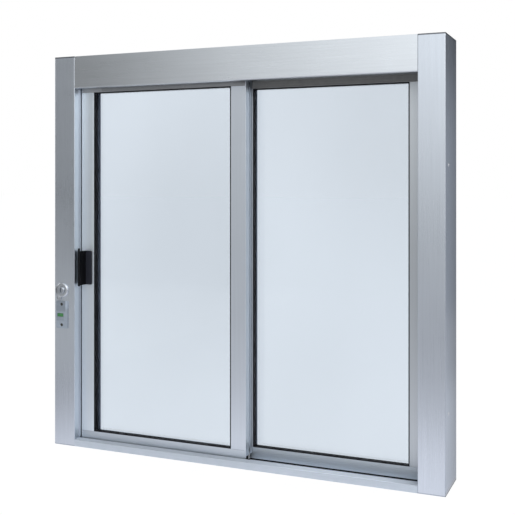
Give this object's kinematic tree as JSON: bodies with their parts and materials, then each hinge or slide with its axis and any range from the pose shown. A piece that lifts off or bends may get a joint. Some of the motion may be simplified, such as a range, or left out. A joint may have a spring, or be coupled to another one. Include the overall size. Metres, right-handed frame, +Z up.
{
  "type": "sliding concession window",
  "caption": "Aluminium service window with a fixed sash, a sliding sash with a pull handle, insulated glass and a key lock on the jamb.",
  "frame": {"origin": "middle of the sill's underside, halfway through the frame's depth", "axes": "+X to the right seen from the front, +Y to the back, +Z up"},
  "size_m": [0.9144, 0.1212, 0.9057],
  "materials": {
    "anodised_aluminium": "satin anodised, with faint drawing lines along each member",
    "cap": "matte",
    "clip": "satin",
    "gasket_rubber": "matte",
    "handle_black": "fine matte",
    "indicator_green": "semi-gloss",
    "lock_metal": "satin chrome",
    "nylon": "matte",
    "pile": "dense woven pile",
    "plate_metal": "brushed",
    "spacer_bar": "matte",
    "strip": "matte, finely ribbed",
    "window_glass": "clear, polished"
  },
  "bodies": {
    "root": {"fixed_bedding_strip": "gasket_rubber", "fixed_bottom_rail": "anodised_aluminium", "fixed_front_gasket": "gasket_rubber", "fixed_front_pane": "window_glass", "fixed_jamb_stile": "anodised_aluminium", "fixed_meeting_stile": "anodised_aluminium", "fixed_rear_gasket": "gasket_rubber", "fixed_rear_pane": "window_glass", "fixed_setting_blocks": "gasket_rubber", "fixed_spacer": "spacer_bar", "fixed_top_rail": "anodised_aluminium", "fixed_top_strip": "strip", "header": "anodised_aluminium", "header_seal": "pile", "indicator_flag": "indicator_green", "left_jamb": "anodised_aluminium", "left_jamb_bottom_cap": "cap", "left_jamb_seal": "pile", "left_jamb_top_cap": "cap", "left_roller": "nylon", "lock_collar": "lock_metal", "lock_plate": "plate_metal", "lock_plug": "lock_metal", "pull_handle": "handle_black", "right_jamb": "anodised_aluminium", "right_jamb_bottom_cap": "cap", "right_jamb_seal": "pile", "right_jamb_top_cap": "cap", "right_roller": "nylon", "sash_guide": "nylon", "sill": "anodised_aluminium", "sill_seal": "pile", "sliding_bottom_rail": "anodised_aluminium", "sliding_closing_stile": "anodised_aluminium", "sliding_front_gasket": "gasket_rubber", "sliding_front_pane": "window_glass", "sliding_meeting_stile": "anodised_aluminium", "sliding_rear_gasket": "gasket_rubber", "sliding_rear_pane": "window_glass", "sliding_setting_blocks": "gasket_rubber", "sliding_spacer": "spacer_bar", "sliding_top_clip": "clip", "sliding_top_rail": "anodised_aluminium"}
  },
  "joints": []
}
